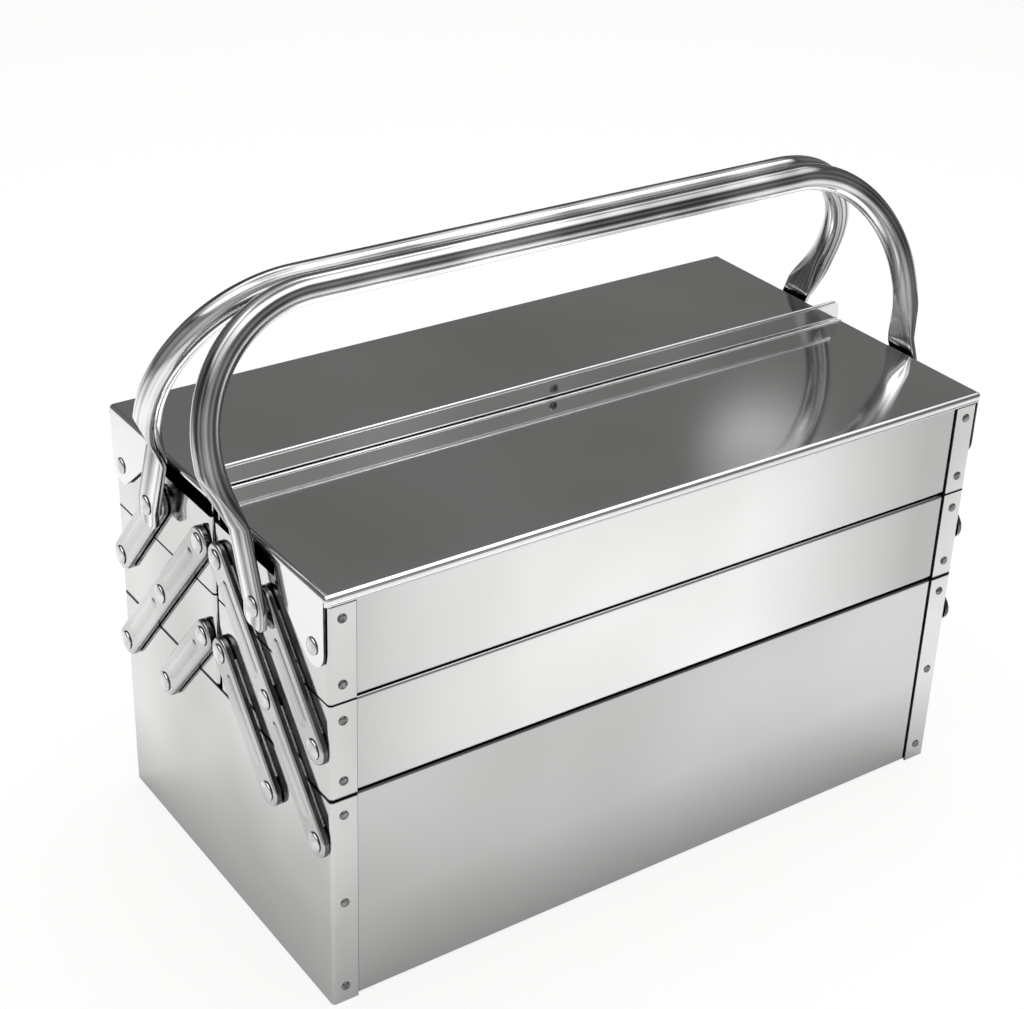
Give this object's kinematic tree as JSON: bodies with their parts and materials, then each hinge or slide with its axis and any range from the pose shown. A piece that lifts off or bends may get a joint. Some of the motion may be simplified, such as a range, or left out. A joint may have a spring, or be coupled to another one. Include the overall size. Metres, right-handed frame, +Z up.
{
  "type": "cantilever tool box",
  "caption": "Polished steel tool box with a deep base, cantilever trays that swing out on riveted arms, two hinged lids and folding tube handles.",
  "frame": {"origin": "centre of the base's underside", "axes": "+X along the box's length, +Z up, +Y to the rear half with the lid that has the upright edge"},
  "size_m": [0.4008, 0.2026, 0.3058],
  "materials": {
    "sheet": "mirror-polished stainless steel sheet",
    "lids": "mirror-polished stainless steel sheet",
    "arms": "polished pressed steel",
    "rivets": "bright steel rivets",
    "spacers": "plain steel rings",
    "handles": "mirror-polished steel tube"
  },
  "bodies": {
    "base": {"base_body": "sheet", "base_end_left": "sheet", "base_end_right": "sheet", "base_corner_rivets": "rivets", "base_pivot_rivets": "rivets", "base_spacers": "spacers"},
    "front_middle": {"front_middle_tray": "sheet", "front_middle_end_left": "sheet", "front_middle_end_right": "sheet", "front_middle_corner_rivets": "rivets", "front_middle_pivot_rivets": "rivets", "front_middle_spacers": "spacers"},
    "front_top": {"front_top_tray": "sheet", "front_top_end_left": "sheet", "front_top_end_right": "sheet", "front_top_corner_rivets": "rivets", "front_top_pivot_rivets": "rivets", "front_top_spacers": "spacers", "front_lid_rivets": "rivets"},
    "front_lid": {"front_lid": "lids"},
    "front_handle": {"front_handle": "handles"},
    "front_long_arm_left": {"front_long_arm_left": "arms"},
    "front_long_arm_right": {"front_long_arm_right": "arms"},
    "front_lower_arm_left": {"front_lower_arm_left": "arms"},
    "front_lower_arm_right": {"front_lower_arm_right": "arms"},
    "front_upper_arm_left": {"front_upper_arm_left": "arms"},
    "front_upper_arm_right": {"front_upper_arm_right": "arms"},
    "rear_middle": {"rear_middle_tray": "sheet", "rear_middle_end_left": "sheet", "rear_middle_end_right": "sheet", "rear_middle_corner_rivets": "rivets", "rear_middle_pivot_rivets": "rivets", "rear_middle_spacers": "spacers"},
    "rear_top": {"rear_top_tray": "sheet", "rear_top_end_left": "sheet", "rear_top_end_right": "sheet", "rear_top_corner_rivets": "rivets", "rear_top_pivot_rivets": "rivets", "rear_top_spacers": "spacers", "rear_lid_rivets": "rivets"},
    "rear_lid": {"rear_lid": "lids", "upright_rivet": "rivets"},
    "rear_handle": {"rear_handle": "handles"},
    "rear_long_arm_left": {"rear_long_arm_left": "arms"},
    "rear_long_arm_right": {"rear_long_arm_right": "arms"},
    "rear_lower_arm_left": {"rear_lower_arm_left": "arms"},
    "rear_lower_arm_right": {"rear_lower_arm_right": "arms"},
    "rear_upper_arm_left": {"rear_upper_arm_left": "arms"},
    "rear_upper_arm_right": {"rear_upper_arm_right": "arms"}
  },
  "joints": [
    {"name": "front_open", "type": "hinge", "parent": "base", "child": "front_long_arm_left", "pos_m": [0, -0.0925, 0.088], "axis": [1, 0, 0], "range_deg": [0, 82]},
    {"name": "front_long_arm_right_turn", "type": "hinge", "parent": "base", "child": "front_long_arm_right", "pos_m": [0, -0.0925, 0.088], "axis": [1, 0, 0], "range_deg": [0, 82]},
    {"name": "front_lower_arm_left_turn", "type": "hinge", "parent": "base", "child": "front_lower_arm_left", "pos_m": [0, -0.0505, 0.088], "axis": [1, 0, 0], "range_deg": [0, 82]},
    {"name": "front_lower_arm_right_turn", "type": "hinge", "parent": "base", "child": "front_lower_arm_right", "pos_m": [0, -0.0505, 0.088], "axis": [1, 0, 0], "range_deg": [0, 82]},
    {"name": "front_middle_level", "type": "hinge", "parent": "front_long_arm_left", "child": "front_middle", "pos_m": [0, -0.0505, 0.1363], "axis": [1, 0, 0], "range_deg": [-82, 0]},
    {"name": "front_top_level", "type": "hinge", "parent": "front_long_arm_left", "child": "front_top", "pos_m": [0, -0.0085, 0.1846], "axis": [1, 0, 0], "range_deg": [-82, 0]},
    {"name": "front_upper_arm_left_turn", "type": "hinge", "parent": "front_middle", "child": "front_upper_arm_left", "pos_m": [0, -0.0925, 0.1363], "axis": [1, 0, 0], "range_deg": [0, 82]},
    {"name": "front_upper_arm_right_turn", "type": "hinge", "parent": "front_middle", "child": "front_upper_arm_right", "pos_m": [0, -0.0925, 0.1363], "axis": [1, 0, 0], "range_deg": [0, 82]},
    {"name": "front_lid_open", "type": "hinge", "parent": "front_top", "child": "front_lid", "pos_m": [0, -0.09, 0.1849], "axis": [1, 0, 0], "range_deg": [0, 125]},
    {"name": "front_handle_fold", "type": "hinge", "parent": "front_top", "child": "front_handle", "pos_m": [0, -0.0505, 0.1846], "axis": [1, 0, 0], "range_deg": [0, 115]},
    {"name": "rear_open", "type": "hinge", "parent": "base", "child": "rear_long_arm_left", "pos_m": [0, 0.0925, 0.088], "axis": [-1, 0, 0], "range_deg": [0, 82]},
    {"name": "rear_long_arm_right_turn", "type": "hinge", "parent": "base", "child": "rear_long_arm_right", "pos_m": [0, 0.0925, 0.088], "axis": [-1, 0, 0], "range_deg": [0, 82]},
    {"name": "rear_lower_arm_left_turn", "type": "hinge", "parent": "base", "child": "rear_lower_arm_left", "pos_m": [0, 0.0505, 0.088], "axis": [-1, 0, 0], "range_deg": [0, 82]},
    {"name": "rear_lower_arm_right_turn", "type": "hinge", "parent": "base", "child": "rear_lower_arm_right", "pos_m": [0, 0.0505, 0.088], "axis": [-1, 0, 0], "range_deg": [0, 82]},
    {"name": "rear_middle_level", "type": "hinge", "parent": "rear_long_arm_left", "child": "rear_middle", "pos_m": [0, 0.0505, 0.1363], "axis": [-1, 0, 0], "range_deg": [-82, 0]},
    {"name": "rear_top_level", "type": "hinge", "parent": "rear_long_arm_left", "child": "rear_top", "pos_m": [0, 0.0085, 0.1846], "axis": [-1, 0, 0], "range_deg": [-82, 0]},
    {"name": "rear_upper_arm_left_turn", "type": "hinge", "parent": "rear_middle", "child": "rear_upper_arm_left", "pos_m": [0, 0.0925, 0.1363], "axis": [-1, 0, 0], "range_deg": [0, 82]},
    {"name": "rear_upper_arm_right_turn", "type": "hinge", "parent": "rear_middle", "child": "rear_upper_arm_right", "pos_m": [0, 0.0925, 0.1363], "axis": [-1, 0, 0], "range_deg": [0, 82]},
    {"name": "rear_lid_open", "type": "hinge", "parent": "rear_top", "child": "rear_lid", "pos_m": [0, 0.09, 0.1849], "axis": [-1, 0, 0], "range_deg": [0, 125]},
    {"name": "rear_handle_fold", "type": "hinge", "parent": "rear_top", "child": "rear_handle", "pos_m": [0, 0.0505, 0.1846], "axis": [-1, 0, 0], "range_deg": [0, 115]}
  ],
  "couplings": [
    {"joint": "front_long_arm_right_turn", "follows": "front_open", "ratio": 1},
    {"joint": "front_lower_arm_left_turn", "follows": "front_open", "ratio": 1},
    {"joint": "front_lower_arm_right_turn", "follows": "front_open", "ratio": 1},
    {"joint": "front_middle_level", "follows": "front_open", "ratio": -1},
    {"joint": "front_top_level", "follows": "front_open", "ratio": -1},
    {"joint": "front_upper_arm_left_turn", "follows": "front_open", "ratio": 1},
    {"joint": "front_upper_arm_right_turn", "follows": "front_open", "ratio": 1},
    {"joint": "rear_long_arm_right_turn", "follows": "rear_open", "ratio": 1},
    {"joint": "rear_lower_arm_left_turn", "follows": "rear_open", "ratio": 1},
    {"joint": "rear_lower_arm_right_turn", "follows": "rear_open", "ratio": 1},
    {"joint": "rear_middle_level", "follows": "rear_open", "ratio": -1},
    {"joint": "rear_top_level", "follows": "rear_open", "ratio": -1},
    {"joint": "rear_upper_arm_left_turn", "follows": "rear_open", "ratio": 1},
    {"joint": "rear_upper_arm_right_turn", "follows": "rear_open", "ratio": 1}
  ]
}
